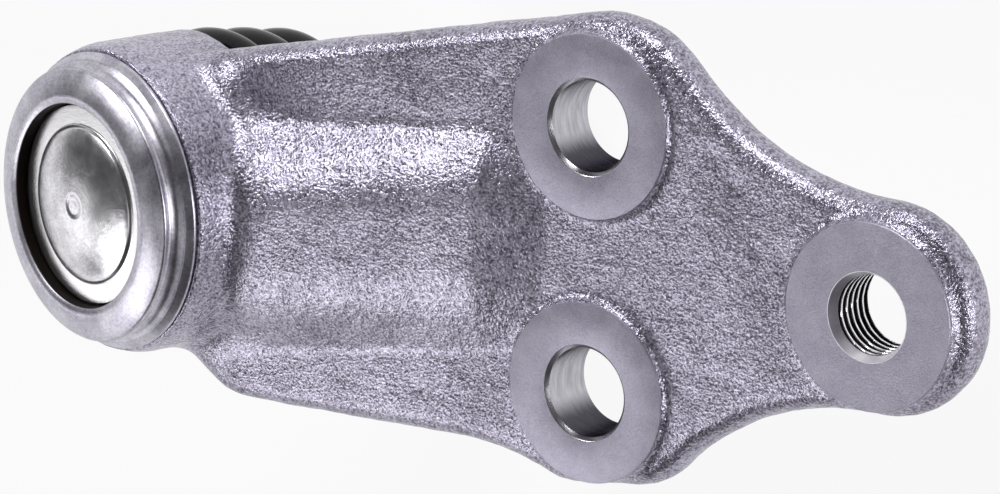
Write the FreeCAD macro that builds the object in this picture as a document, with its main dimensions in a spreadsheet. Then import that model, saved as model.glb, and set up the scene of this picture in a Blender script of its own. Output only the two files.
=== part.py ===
import FreeCAD, Part
import math
import os
import Sketcher
from FreeCAD import Placement, Rotation, Vector

# Lower control-arm ball joint. The origin is the centre of the ball. +Z is the bolt direction and
# points to the closed side of the socket, +X runs along the arm to the threaded hole, and +Y to the
# upper plain hole. The socket's own axis leans back from +Z by the lean angle.

os.makedirs("parts", exist_ok=True)
doc = FreeCAD.newDocument("BallJoint")
sheet = doc.addObject("Spreadsheet::Sheet", "Sizes")

SIZES = [
    # bolt pattern and plate
    ("threaded_hole_x", 122.5, "ball centre to threaded hole, along the arm"),
    ("pattern_y", 3.5, "middle of the bolt pattern, across the arm"),
    ("pattern_length", 44.4, "threaded hole to the line of the plain holes"),
    ("pattern_width", 36.6, "between the plain holes"),
    ("plain_hole_radius", 6.2, "clearance hole for an M12 bolt"),
    ("thread_bore_radius", 5.325, "minor radius of M12 x 1.25"),
    ("hole_chamfer", 0.5, "edge break of the plain holes"),
    ("thread_chamfer", 0.9, "lead chamfer of the threaded hole"),
    ("spot_radius", 12.5, "machined spot faces"),
    ("spot_height", 5.5, "spot faces above the ball centre"),
    ("boss_thickness", 8.9, "plate thickness between spot faces"),
    ("boss_rise", 1.2, "bosses above the forged web, each side"),
    ("boss_wall", 0.5, "draft of a boss wall, as a radius difference"),
    ("upper_corner_radius", 16.7, "plate corner round the upper plain hole"),
    ("upper_corner_x", 1.7, "that corner's middle past the hole, along the arm"),
    ("upper_corner_y", -1.7, "the same, across the arm"),
    ("front_corner_radius", 14.2, "plate corner round the threaded hole"),
    ("front_corner_x", 0.8, "that corner's middle past the hole, along the arm"),
    ("front_corner_y", 0.5, "the same, across the arm"),
    ("lower_corner_radius", 12.2, "plate corner beside the lower plain hole"),
    ("lower_corner_x", 4.9, "that corner's middle past the hole, along the arm"),
    ("lower_corner_y", -0.4, "the same, across the arm"),
    ("heel_radius", 12.4, "corner on the neck's side of the lower plain hole"),
    ("heel_x", -4.1, "that corner's middle from the hole, along the arm"),
    ("heel_y", -1.6, "the same, across the arm"),
    ("waist_radius", 42.0, "hollow sides between the holes"),
    ("edge_round", 2.6, "rounding of the forged edges"),
    ("edge_draft", 7.0, "draft of the plate's edge, degrees"),
    # neck
    ("neck_top_y", 19.9, "neck's upper edge where it meets the socket"),
    ("neck_low_y", 27.7, "neck's lower edge, on the other side of the arm's middle"),
    ("neck_end_x", 17.5, "where the lower edge turns in to the socket"),
    ("neck_turn_radius", 17.0, "that turn"),
    ("neck_hollow_radius", 40.0, "hollow of the lower edge before the plate"),
    ("neck_hollow_x", 57.0, "middle of that hollow, along the arm"),
    ("ridge_nose_x", 69.5, "plate end of the raised ridge"),
    ("ridge_nose_y", 2.6, "middle of the ridge at its end"),
    ("ridge_nose_half", 12.6, "half width of the ridge's foot at its end"),
    ("ridge_fall_x", 60.0, "where the ridge starts to fall to the plate"),
    ("ridge_fall_y", 3.3, "middle of the ridge there"),
    ("ridge_fall_half", 15.8, "half width of the ridge's foot there"),
    ("ridge_fall_rise", 3.1, "ridge above the web there"),
    ("ridge_end_y", -2.5, "middle of the ridge at the socket"),
    ("ridge_foot_half", 16.6, "half width of the ridge's foot at the socket"),
    ("ridge_top_half", 7.6, "half width of the ridge's flat top"),
    ("ridge_rise", 5.4, "ridge above the web at the socket"),
    # socket
    ("lean_angle", 12.4, "socket axis against the bolt direction, degrees"),
    ("body_radius", 22.4, "forged socket body"),
    ("body_bottom", 6.4, "body's stud-side face below the ball centre"),
    ("rim_top", 16.5, "rolled rim above the ball centre"),
    ("flange_radius", 21.35, "turned flange"),
    ("flange_top", 12.43, "turned flange's face above the ball centre"),
    ("flange_chamfer", 0.9, "chamfer of the flange"),
    ("rim_radius", 19.66, "outside of the rolled rim"),
    ("rim_slope", 1.5, "fall of the rim's face to its outside"),
    ("groove_radius", 18.9, "bottom of the turned groove"),
    ("rim_opening", 14.6, "opening of the rolled rim"),
    ("crest_width", 1.0, "crest of the rolled rim"),
    ("crest_rise", 0.36, "crest above the opening's edge"),
    ("body_round", 1.6, "rounding of the body's stud-side edge"),
    ("spigot_radius", 17.6, "spigot that carries the boot"),
    ("spigot_end", 10.8, "end of the spigot below the ball centre"),
    ("spigot_chamfer", 0.5, "chamfer of the spigot"),
    ("boot_seat_radius", 24.6, "turned face that the boot sits against"),
    ("mouth_radius", 11.7, "opening for the stud"),
    ("mouth_angle", 33.0, "flare of the socket's mouth, degrees"),
    # cap, seats and spring
    ("cap_radius", 16.4, "end cap"),
    ("cap_depth", 1.9, "cap's rim below the rolled crest"),
    ("cap_thickness", 2.4, "cap plate"),
    ("dome_radius", 11.4, "raised middle of the cap"),
    ("dome_rise", 1.1, "rise of the cap's middle"),
    ("dome_crown", 0.6, "crown of the cap's middle"),
    ("dimple_radius", 1.9, "centre punch mark in the cap"),
    ("fit_gap", 0.04, "clearance of pressed and seated pieces"),
    ("ball_radius", 12.5, "ball"),
    ("ball_gap", 0.05, "running clearance of the ball"),
    ("seat_wall", 2.05, "wall of the bearing seats at the equator"),
    ("seat_split", 0.9, "gap between the two seats"),
    ("seat_end", 5.9, "lower seat's end below the ball centre"),
    ("seat_end_radius", 13.0, "lower seat's outside at that end"),
    ("seat_cone", 2.0, "start of the lower seat's cone below the ball centre"),
    ("upper_seat_top", 9.4, "upper seat above the ball centre"),
    ("spring_thickness", 1.3, "disc spring"),
    ("spring_bore", 10.4, "hole of the disc spring"),
    ("spring_radius", 14.3, "outside of the disc spring"),
    # stud
    ("ball_flat", 11.2, "flat on top of the ball"),
    ("neck_radius", 6.75, "stud's neck"),
    ("neck_length", 14.0, "end of the straight neck below the ball centre"),
    ("land_radius", 8.9, "land that the boot seals on"),
    ("land_start", 23.0, "start of that land"),
    ("taper_start", 30.5, "large end of the taper"),
    ("taper_length", 14.0, "length of the taper"),
    ("taper_ratio", 8.0, "taper on diameter, one in this many"),
    ("thread_radius", 7.0, "M14 thread, outside"),
    ("thread_start", 46.5, "start of the thread"),
    ("stud_end", 62.5, "end of the stud"),
    ("pin_hole_depth", 59.0, "split-pin hole below the ball centre"),
    # nut and pin
    ("nut_flats", 22.0, "across the flats of the nut"),
    ("nut_hex_height", 11.0, "hexagon of the nut"),
    ("nut_crown_height", 5.0, "slotted crown of the nut"),
    ("nut_crown_radius", 9.5, "crown of the nut"),
    ("nut_slot_width", 3.5, "slots of the nut"),
    ("thread_gap", 0.05, "clearance of the nut's bore"),
    ("pin_wire_radius", 0.72, "wire of the split pin"),
    ("pin_leg_offset", 0.76, "leg's middle from the middle of the pin"),
    ("pin_hole_radius", 1.65, "hole for the split pin"),
    ("pin_leg_gap", 1.4, "bent legs of the pin from the nut's flats, to the wire's middle"),
    ("pin_stagger", 0.3, "one leg nearer to the flats than the other"),
    ("pin_bend", 1.5, "bend radius of the legs"),
    ("pin_upper_tip", 5.0, "bent end of the upper leg"),
    ("pin_lower_tip", 5.5, "bent end of the lower leg"),
    ("pin_eye", 2.4, "radius of the pin's eye"),
    ("pin_eye_gap", 1.7, "eye from the nut's crown, to the wire's middle"),
    ("pin_eye_join", 1.6, "radius between the legs and the eye"),
    # boot and its rings
    ("socket_ring_wall", 1.08, "steel ring in the boot's large end, with its clearance"),
    ("boot_wall", 1.6, "rubber wall"),
    ("boot_gap", 0.3, "boot clear of the body's face"),
    ("fold_radius_1", 22.2, "first fold"),
    ("fold_radius_2", 21.4, "second fold"),
    ("fold_radius_3", 20.4, "third fold"),
    ("fold_pitch", 6.5, "fold to fold"),
    ("fold_depth", 3.4, "depth of the folds"),
    ("boot_end", 30.0, "small end of the boot below the ball centre"),
    ("boot_collar_height", 4.0, "collar at the small end"),
    ("stud_ring_wire", 0.8, "wire radius of the small ring"),
    ("stud_ring_radius", 11.85, "middle of the small ring's wire"),
]

for row, (alias, value, note) in enumerate(SIZES, start=1):
    sheet.set(f"A{row}", note)
    sheet.set(f"B{row}", str(value))
    sheet.setAlias(f"B{row}", alias)
doc.recompute()


def size(text):
    """The value of an expression on the sheet's aliases."""
    return float(sheet.evalExpression(bind(text)))


ALIASES = sorted((alias for alias, _, _ in SIZES), key=len, reverse=True)


def bind(text):
    """An expression with each alias written as a reference to the sheet."""
    words, word = [], ""
    for letter in text + " ":
        if letter.isalnum() or letter == "_":
            word += letter
            continue
        words.append(f"Sizes.{word}" if word in ALIASES else word)
        words.append(letter)
        word = ""
    return "".join(words).strip()


def new_body(label):
    body = doc.addObject("PartDesign::Body", label)
    body.Label = label
    return body


def plane(body, role):
    return next(f for f in body.Origin.OriginFeatures if f.Role == role)


def sketch_on(body, name, role="XZ_Plane", offset=None):
    sketch = body.newObject("Sketcher::SketchObject", name)
    sketch.AttachmentSupport = (plane(body, role), "")
    sketch.MapMode = "FlatFace"
    if offset is not None:
        sketch.AttachmentOffset = offset
    return sketch


def tie(sketch, kind, *where, to):
    """A dimension of the sketch that follows an expression."""
    index = sketch.addConstraint(Sketcher.Constraint(kind, *where, size(to)))
    sketch.setExpression(f"Constraints[{index}]", bind(to))


def tie_point(sketch, geometry, end, point):
    tie(sketch, "DistanceX", -1, 1, geometry, end, to=point[0])
    tie(sketch, "DistanceY", -1, 1, geometry, end, to=point[1])


def outline(sketch, points):
    """A closed outline. A point is (x, y), or (x, y, bulge) for an arc to the next point:
    the bulge is the tangent of a quarter of the arc's angle, positive to the right."""
    places = [Vector(size(p[0]), size(p[1]), 0) for p in points]
    count = len(points)
    for i, point in enumerate(points):
        start, end = places[i], places[(i + 1) % count]
        if len(point) == 3:
            middle = (start + end) * 0.5
            across = Vector(end.y - start.y, start.x - end.x, 0) * 0.5
            arc = Part.Arc(start, middle + across * point[2], end)
            sketch.addGeometry(arc, False)
        else:
            sketch.addGeometry(Part.LineSegment(start, end), False)
    # A circular arc's own direction may run the other way, so its ends are found by distance.
    ends = []
    for i in range(count):
        first = sketch.getPoint(i, 1)
        flipped = first.distanceToPoint(places[i]) > 1e-6
        ends.append((2, 1) if flipped else (1, 2))
    for i, point in enumerate(points):
        follower = (i + 1) % count
        sketch.addConstraint(
            Sketcher.Constraint("Coincident", i, ends[i][1], follower, ends[follower][0])
        )
        tie_point(sketch, i, ends[i][0], point)
        if len(point) == 3:
            chord = places[i].distanceToPoint(places[follower])
            radius = chord * (1 + point[2] ** 2) / (4 * abs(point[2]))
            sketch.addConstraint(Sketcher.Constraint("Radius", i, radius))


def circles(sketch, centres, radius):
    for x, y in centres:
        index = sketch.addGeometry(Part.Circle(Vector(size(x), size(y), 0), Vector(0, 0, 1), size(radius)))
        tie_point(sketch, index, 3, (x, y))
        tie(sketch, "Radius", index, to=radius)


def pad(body, name, sketch, length, taper="0", reverse=False, cut=False):
    feature = body.newObject("PartDesign::Pocket" if cut else "PartDesign::Pad", name)
    feature.Profile = sketch
    feature.setExpression("Length", bind(length))
    feature.Reversed = reverse
    if not cut:
        feature.setExpression("TaperAngle", bind(taper))
    return feature


def turn(body, name, points, cut=False, offset=None):
    """A revolved form about the Z axis. The outline is (radius, height)."""
    sketch = sketch_on(body, name + "_profile", offset=offset)
    outline(sketch, points)
    feature = body.newObject("PartDesign::Groove" if cut else "PartDesign::Revolution", name)
    feature.Profile = sketch
    feature.ReferenceAxis = (sketch, ["V_Axis"])
    feature.Angle = 360
    return feature


def leaned(label):
    """A body whose own Z axis is the socket's axis."""
    body = new_body(label)
    body.Placement = Placement(Vector(), Rotation(Vector(0, -1, 0), size("lean_angle")))
    body.setExpression("Placement.Rotation.Angle", bind("lean_angle"))
    return body


# Forged housing: one steel forging with web, bosses, neck and socket body, then machined.
web_top = "(spot_height - boss_rise)"
web_middle = "(spot_height - boss_thickness / 2)"
web_half = "(boss_thickness / 2 - boss_rise)"
hole_x = "(threaded_hole_x - pattern_length)"
upper_hole = (hole_x, "(pattern_y + pattern_width / 2)")
lower_hole = (hole_x, "(pattern_y - pattern_width / 2)")
threaded_hole = ("threaded_hole_x", "pattern_y")


def tangent_from(point, centre, radius, side):
    """Where a line from a point touches a circle, on its left (1) or right (-1) side."""
    line = point - centre
    reach = line.Length
    bend = math.acos(radius / reach) * side
    return centre + Rotation(Vector(0, 0, 1), math.degrees(bend)).multVec(line * (radius / reach))


def tangent_line(first, first_radius, second, second_radius, side):
    """The touching points of a line along two circles, on the left (1) or right (-1) side of the
    way from one to the other. With a negative second radius it crosses to that circle's far side."""
    line = second - first
    turn_angle = math.asin((second_radius - first_radius) / line.Length) * side
    across = Rotation(Vector(0, 0, 1), side * 90).multVec(line * (1 / line.Length))
    across = Rotation(Vector(0, 0, 1), math.degrees(turn_angle)).multVec(across)
    return first + across * first_radius, second + across * second_radius


def hollow_centre(first, first_reach, second, second_reach, side):
    """The centre at a reach from each of two points, on the left (1) or right (-1) side."""
    line = second - first
    along = (first_reach ** 2 - second_reach ** 2 + line.Length ** 2) / (2 * line.Length)
    height = math.sqrt(first_reach ** 2 - along ** 2)
    across = Rotation(Vector(0, 0, 1), side * 90).multVec(line * (1 / line.Length))
    return first + line * (along / line.Length) + across * height


def arc_between(centre, radius, start, end):
    """An arc that runs counter-clockwise from start to end."""
    circle = Part.Circle(centre, Vector(0, 0, 1), radius)
    return Part.ArcOfCircle(circle, circle.parameter(start), circle.parameter(end))


def corner_of(name, hole):
    """A plate corner that stands a little off its hole: the expressions of its middle and radius,
    then their values."""
    middle = (f"{hole[0]} + {name}_x", f"{hole[1]} + {name}_y")
    return middle, f"{name}_radius", Vector(size(middle[0]), size(middle[1]), 0), size(f"{name}_radius")


def plate_outline(sketch):
    """Corners round the holes, hollow sides between them, and the neck's two edges."""
    corners = [
        corner_of("upper_corner", upper_hole),
        corner_of("front_corner", threaded_hole),
        corner_of("lower_corner", lower_hole),
        corner_of("heel", lower_hole),
    ]
    (upper, upper_r), (front, front_r), (lower, lower_r), (heel, heel_r) = (
        corner[2:] for corner in corners
    )
    waist, turn_radius, hollow_r = size("waist_radius"), size("neck_turn_radius"), size("neck_hollow_radius")
    turn_centre = Vector(size("neck_end_x"), size("neck_turn_radius - neck_low_y"), 0)
    inner_end = turn_centre - Vector(turn_radius, 0, 0)
    top_start = Vector(inner_end.x, size("neck_top_y"), 0)
    top_end = tangent_from(top_start, upper, upper_r, -1)
    above = hollow_centre(upper, upper_r + waist, front, front_r + waist, 1)
    below = hollow_centre(front, front_r + waist, lower, lower_r + waist, 1)
    hollow_x = size("neck_hollow_x")
    drop = math.sqrt((hollow_r + heel_r) ** 2 - (hollow_x - heel.x) ** 2)
    hollow = Vector(hollow_x, heel.y - drop, 0)
    touch = [
        corner + (centre - corner) * (radius / (corner - centre).Length)
        for corner, radius, centre in (
            (upper, upper_r, above),
            (front, front_r, above),
            (front, front_r, below),
            (lower, lower_r, below),
            (heel, heel_r, hollow),
        )
    ]
    base_start, base_end = tangent_line(lower, lower_r, heel, heel_r, 1)
    low_start, low_end = tangent_line(hollow, -hollow_r, turn_centre, turn_radius, 1)
    # Convex arcs end where the next piece starts, so their second end comes first.
    pieces = [
        (Part.LineSegment(top_start, top_end), 1, 2),
        (arc_between(upper, upper_r, touch[0], top_end), 2, 1),
        (arc_between(above, waist, touch[0], touch[1]), 1, 2),
        (arc_between(front, front_r, touch[2], touch[1]), 2, 1),
        (arc_between(below, waist, touch[2], touch[3]), 1, 2),
        (arc_between(lower, lower_r, base_start, touch[3]), 2, 1),
        (Part.LineSegment(base_start, base_end), 1, 2),
        (arc_between(heel, heel_r, touch[4], base_end), 2, 1),
        (arc_between(hollow, hollow_r, touch[4], low_start), 1, 2),
        (Part.LineSegment(low_start, low_end), 1, 2),
        (arc_between(turn_centre, turn_radius, inner_end, low_end), 2, 1),
        (Part.LineSegment(inner_end, top_start), 1, 2),
    ]
    for geometry, _, _ in pieces:
        sketch.addGeometry(geometry, False)
    smooth = len(pieces) - 2
    for i, (_, _, leave) in enumerate(pieces):
        follower = (i + 1) % len(pieces)
        kind = "Tangent" if i < smooth else "Coincident"
        sketch.addConstraint(Sketcher.Constraint(kind, i, leave, follower, pieces[follower][1]))
    for index, (middle, radius, _, _) in zip((1, 3, 5, 7), corners):
        tie_point(sketch, index, 3, middle)
        tie(sketch, "Radius", index, to=radius)
    for index in (2, 4):
        tie(sketch, "Radius", index, to="waist_radius")
    tie(sketch, "DistanceX", -1, 1, 8, 3, to="neck_hollow_x")
    tie(sketch, "Radius", 8, to="neck_hollow_radius")
    tie_point(sketch, 10, 3, ("neck_end_x", "neck_turn_radius - neck_low_y"))
    tie(sketch, "Radius", 10, to="neck_turn_radius")
    tie_point(sketch, 0, 1, ("neck_end_x - neck_turn_radius", "neck_top_y"))


def at_height(text):
    return Placement(Vector(0, 0, size(text)), Rotation())


housing = new_body("forged_housing")
web_sketch = sketch_on(housing, "web_outline", "XY_Plane", at_height(web_middle))
web_sketch.setExpression("AttachmentOffset.Base.z", bind(web_middle))
plate_outline(web_sketch)
doc.recompute()
web = housing.newObject("PartDesign::Pad", "web")
web.Profile = web_sketch
web.SideType = "Two sides"
web.setExpression("Length", bind(web_half))
web.setExpression("Length2", bind(web_half))
web.setExpression("TaperAngle", bind("0 - edge_draft"))
web.setExpression("TaperAngle2", bind("0 - edge_draft"))
doc.recompute()


def edges_where(feature, test):
    return [f"Edge{i}" for i, edge in enumerate(feature.Shape.Edges, start=1) if test(edge)]


def level(edge, height):
    """Whether an edge lies flat at this height."""
    box = edge.BoundBox
    return abs(box.ZMin - height) < 1e-4 and abs(box.ZMax - height) < 1e-4


def round_edges(body, name, base, names, radius):
    feature = body.newObject("PartDesign::Fillet", name)
    feature.Base = (base, names)
    feature.setExpression("Radius", bind(radius))
    return feature


inner_x = size("neck_end_x - neck_turn_radius")
web_edges = edges_where(
    web,
    lambda edge: (level(edge, size(web_top)) or level(edge, size(web_middle) - size(web_half)))
    and edge.BoundBox.XMax > inner_x + 1,
)
web_round = round_edges(housing, "web_round", web, web_edges, "edge_round")
doc.recompute()

# Bosses stand on the middle plane and narrow to the machined spot faces.
boss_sketch = sketch_on(housing, "boss_circles", "XY_Plane", at_height(web_middle))
boss_sketch.setExpression("AttachmentOffset.Base.z", bind(web_middle))
circles(boss_sketch, (upper_hole, lower_hole, threaded_hole), "spot_radius + boss_wall")
bosses = housing.newObject("PartDesign::Pad", "bosses")
bosses.Profile = boss_sketch
bosses.SideType = "Two sides"
for length in ("Length", "Length2"):
    bosses.setExpression(length, bind("boss_thickness / 2"))
for taper in ("TaperAngle", "TaperAngle2"):
    bosses.setExpression(taper, bind("-1 * atan(2 * boss_wall / boss_thickness)"))
doc.recompute()

# The ridge along the neck falls to the plate in a short nose and grows towards the socket.
SHOULDER = 0.45


def ridge_section(name, x, middle, foot, rise):
    """A cross-section of the ridge. Its base is inside the web."""
    sketch = sketch_on(housing, name, "YZ_Plane", at_height(x))
    sketch.setExpression("AttachmentOffset.Base.z", bind(x))
    run = f"({foot} - ridge_top_half)"
    slant = f"sqrt({run} ^ 2 + ({rise}) ^ 2)"
    bulge = math.tan(math.atan(size(f"{rise} / {run}")) / 4)
    low_y = f"(ridge_top_half + {SHOULDER} * {run})"
    low_z = f"({web_top} + {1 - SHOULDER} * {rise})"
    high_y = f"(ridge_top_half - {SHOULDER} * {slant})"
    high_z = f"({web_top} + {rise})"
    points = [
        (f"{middle} - {foot}", web_middle),
        (f"{middle} + {foot}", web_middle),
        (f"{middle} + {foot}", web_top),
        (f"{middle} + {low_y}", low_z, bulge),
        (f"{middle} + {high_y}", high_z),
        (f"{middle} - {high_y}", high_z, bulge),
        (f"{middle} - {low_y}", low_z),
        (f"{middle} - {foot}", web_top),
    ]
    outline(sketch, points)
    return sketch


ridge_sections = [
    ridge_section("ridge_nose", "ridge_nose_x", "ridge_nose_y", "ridge_nose_half", "0.1 * ridge_fall_rise"),
    ridge_section("ridge_at_fall", "ridge_fall_x", "ridge_fall_y", "ridge_fall_half", "ridge_fall_rise"),
    ridge_section("ridge_at_socket", "body_radius", "ridge_end_y", "ridge_foot_half", "ridge_rise"),
    ridge_section("ridge_inside", "body_radius / 2", "ridge_end_y", "ridge_foot_half", "ridge_rise"),
]
doc.recompute()
ridge = housing.newObject("PartDesign::AdditiveLoft", "ridge")
ridge.Profile = ridge_sections[0]
ridge.Sections = ridge_sections[1:]
ridge.Ruled = True
doc.recompute()

# Socket body, flange, turned groove and rolled rim, in one profile about the leaning axis.
lean = Placement(Vector(), Rotation(Vector(0, 0, 1), size("lean_angle")))
QUARTER = math.tan(math.pi / 8)
body_profile = [
    ("0", "0 - spigot_end"),
    ("spigot_radius - spigot_chamfer", "0 - spigot_end"),
    ("spigot_radius", "spigot_chamfer - spigot_end"),
    ("spigot_radius", "0 - body_bottom"),
    ("body_radius - body_round", "0 - body_bottom", QUARTER),
    ("body_radius", "body_round - body_bottom"),
    ("body_radius", "flange_top - 4.4", 0.1),
    ("flange_radius + 0.2", "flange_top - flange_chamfer - 0.2"),
    ("flange_radius", "flange_top - flange_chamfer - 0.2"),
    ("flange_radius", "flange_top - flange_chamfer"),
    ("flange_radius - flange_chamfer", "flange_top", -0.3),
    ("groove_radius", "flange_top + 1.6"),
    ("groove_radius", "flange_top + 2.1"),
    ("rim_radius", "flange_top + 2.6"),
    ("rim_radius", "rim_top + crest_rise - rim_slope", 0.12),
    ("rim_opening + crest_width", "rim_top + crest_rise", 0.3),
    ("rim_opening", "rim_top"),
    ("0", "rim_top"),
]
socket_body = turn(housing, "socket_body", body_profile, offset=lean)
doc.recompute()

# The boot's seat is turned, which also trims the underside of the neck.
seat_turning = [
    ("spigot_radius", "0 - spigot_end - 1"),
    ("boot_seat_radius", "0 - spigot_end - 1"),
    ("boot_seat_radius", "0 - body_bottom"),
    ("spigot_radius", "0 - body_bottom"),
]
boot_seat = turn(housing, "boot_seat", seat_turning, cut=True, offset=lean)

# The socket's inside, from the rolled opening to the flared mouth.
seat_outer = "(ball_radius + ball_gap + seat_wall)"
cap_face = "(rim_top - cap_depth)"
mouth_top = "(0 - seat_end - fit_gap)"
inside_profile = [
    ("0", "0 - spigot_end - 1"),
    ("mouth_radius + (spigot_end + 1 - seat_end) * tan(mouth_angle)", "0 - spigot_end - 1"),
    ("mouth_radius", mouth_top),
    ("seat_end_radius + fit_gap", mouth_top),
    (f"{seat_outer} + fit_gap", "0 - seat_cone"),
    (f"{seat_outer} + fit_gap", f"{cap_face} - cap_thickness - fit_gap"),
    ("cap_radius + fit_gap", f"{cap_face} - cap_thickness - fit_gap"),
    ("cap_radius + fit_gap", cap_face),
    ("rim_opening", cap_face),
    ("rim_opening", "rim_top + 2"),
    ("0", "rim_top + 2"),
]
inside = turn(housing, "inside", inside_profile, cut=True, offset=lean)


def drilled(name, centres, radius):
    sketch = sketch_on(housing, name + "_circles", "XY_Plane", at_height(web_middle))
    sketch.setExpression("AttachmentOffset.Base.z", bind(web_middle))
    circles(sketch, centres, radius)
    feature = housing.newObject("PartDesign::Pocket", name)
    feature.Profile = sketch
    feature.SideType = "Symmetric"
    feature.setExpression("Length", bind("2 * boss_thickness"))
    return feature


plain_holes = drilled("plain_holes", (upper_hole, lower_hole), "plain_hole_radius")
thread_bore = drilled("thread_bore", (threaded_hole,), "thread_bore_radius")
doc.recompute()


def broken_edges(name, radius, chamfer):
    """Chamfers at both ends of the holes of this radius."""
    names = edges_where(
        housing.Tip,
        lambda edge: isinstance(edge.Curve, Part.Circle)
        and abs(edge.Curve.Radius - size(radius)) < 1e-4
        and (level(edge, size("spot_height")) or level(edge, size("spot_height - boss_thickness"))),
    )
    feature = housing.newObject("PartDesign::Chamfer", name)
    feature.Base = (feature.BaseFeature, names)
    feature.setExpression("Size", bind(chamfer))
    doc.recompute()
    return feature


broken_edges("plain_hole_chamfers", "plain_hole_radius", "hole_chamfer")
broken_edges("thread_chamfers", "thread_bore_radius", "thread_chamfer")


def sphere_bulge(start, end):
    """The bulge of an arc about the ball's centre between two (radius, height) points."""
    angles = [math.atan2(size(height), size(radius)) for radius, height in (start, end)]
    return math.tan((angles[1] - angles[0]) / 4)


# End cap: pressed steel plate with a raised middle and a centre punch mark.
cap = leaned("end_cap")
cap_under = f"({cap_face} - cap_thickness)"
dome_edge = f"({cap_face} + dome_rise)"
cap_profile = [
    ("0", f"{cap_under} + dome_rise + 0.4"),
    ("dome_radius - 2", f"{cap_under} + dome_rise"),
    ("dome_radius - 1.2", cap_under),
    ("cap_radius", cap_under),
    ("cap_radius", cap_face),
    ("dome_radius", cap_face),
    ("dome_radius - 0.5", dome_edge, 0.03),
    ("dimple_radius", f"{dome_edge} + dome_crown"),
    ("dimple_radius / 2", f"{dome_edge} + dome_crown - 0.35"),
    ("0", f"{dome_edge} + dome_crown - 0.45"),
]
turn(cap, "pressed_plate", cap_profile)

# Bearing seats: two plastic cups round the ball, split just above and below its middle.
ball_seat = "(ball_radius + ball_gap)"


def on_seat(height):
    """A point of the seats' inside at this height."""
    return f"sqrt({ball_seat} ^ 2 - ({height}) ^ 2)", height


upper_seat = leaned("upper_bearing_seat")
low, high = on_seat("seat_split / 2"), on_seat("upper_seat_top")
turn(upper_seat, "upper_cup", [
    low,
    (seat_outer, low[1]),
    (seat_outer, high[1]),
    (*high, -abs(sphere_bulge(high, low))),
])

lower_seat = leaned("lower_bearing_seat")
low, high = on_seat("0 - seat_end"), on_seat("0 - seat_split / 2")
turn(lower_seat, "lower_cup", [
    low,
    ("seat_end_radius", low[1]),
    (seat_outer, "0 - seat_cone"),
    (seat_outer, high[1]),
    (*high, -abs(sphere_bulge(high, low))),
])

# Preload spring: a coned disc between the upper seat and the cap.
spring = leaned("preload_spring")
spring_low = "(upper_seat_top + ball_gap)"
spring_high = f"({cap_under} - ball_gap)"
turn(spring, "coned_disc", [
    ("spring_bore", f"{spring_high} - spring_thickness"),
    ("spring_radius", spring_low),
    ("spring_radius", f"{spring_low} + spring_thickness"),
    ("spring_bore", spring_high),
])

# Ball stud: ball, neck, sealing land, taper, relief and threaded end.
stud = leaned("ball_stud")
ball_low = ("neck_radius", "0 - sqrt(ball_radius ^ 2 - neck_radius ^ 2)")
ball_high = ("sqrt(ball_radius ^ 2 - ball_flat ^ 2)", "ball_flat")
taper_small = "(land_radius - 0.15 - taper_length / taper_ratio / 2)"
turn(stud, "stud_turned", [
    ("0", "0 - stud_end"),
    ("thread_radius - 1", "0 - stud_end"),
    ("thread_radius", "1 - stud_end"),
    ("thread_radius", "0 - thread_start - 0.4"),
    ("thread_radius - 0.9", "0.3 - thread_start"),
    ("thread_radius - 0.9", "0 - taper_start - taper_length - 0.4"),
    (taper_small, "0 - taper_start - taper_length"),
    ("land_radius - 0.15", "0 - taper_start"),
    ("land_radius", "1 - taper_start"),
    ("land_radius", "0 - land_start", -0.1),
    ("neck_radius", "0 - neck_length"),
    (*ball_low, abs(sphere_bulge(ball_low, ball_high))),
    ball_high,
    ("0", "ball_flat"),
])
pin_sketch = sketch_on(stud, "pin_hole_circle", "XZ_Plane")
circles(pin_sketch, (("0", "0 - pin_hole_depth"),), "pin_hole_radius")
pin_hole = stud.newObject("PartDesign::Pocket", "pin_hole")
pin_hole.Profile = pin_sketch
pin_hole.SideType = "Symmetric"
pin_hole.setExpression("Length", bind("4 * thread_radius"))

# Castle nut: hexagon with chamfered corners and a slotted crown.
nut = leaned("castle_nut")
nut_face = "(0.7 - thread_start)"
nut_shoulder = f"({nut_face} - nut_hex_height)"
nut_end = f"({nut_shoulder} - nut_crown_height)"


def section(body, name, height):
    sketch = sketch_on(body, name, "XY_Plane", at_height(height))
    sketch.setExpression("AttachmentOffset.Base.z", bind(height))
    return sketch


hexagon = section(nut, "hexagon", nut_face)
outline(hexagon, [
    (f"nut_flats / sqrt(3) * cos({angle})", f"nut_flats / sqrt(3) * sin({angle})")
    for angle in range(0, 360, 60)
])
pad(nut, "nut_hexagon", hexagon, "nut_hex_height", reverse=True)
crown = section(nut, "crown_circle", nut_shoulder)
circles(crown, (("0", "0"),), "nut_crown_radius")
pad(nut, "nut_crown", crown, "nut_crown_height", reverse=True)
doc.recompute()
for name, face, inward in (("seat_chamfer", nut_face, -1), ("crown_chamfer", nut_shoulder, 1)):
    turn(nut, name, [
        ("nut_flats / 2 - 0.3", face),
        ("nut_flats / 2 + 3", face),
        ("nut_flats / 2 + 3", f"{face} + {inward} * 1.9"),
    ], cut=True)
bore = section(nut, "bore_circle", nut_face)
circles(bore, (("0", "0"),), "thread_radius + thread_gap")
nut_bore = pad(nut, "nut_bore", bore, "nut_hex_height + nut_crown_height", cut=True)
nut_bore.SideType = "Symmetric"
nut_bore.setExpression("Length", bind("3 * (nut_hex_height + nut_crown_height)"))
slot = section(nut, "slot_outline", nut_end)
outline(slot, [
    ("0 - nut_slot_width / 2", "0 - nut_crown_radius - 1"),
    ("nut_slot_width / 2", "0 - nut_crown_radius - 1"),
    ("nut_slot_width / 2", "nut_crown_radius + 1"),
    ("0 - nut_slot_width / 2", "nut_crown_radius + 1"),
])
nut_slot = nut.newObject("PartDesign::Pocket", "nut_slot")
nut_slot.Profile = slot
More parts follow.
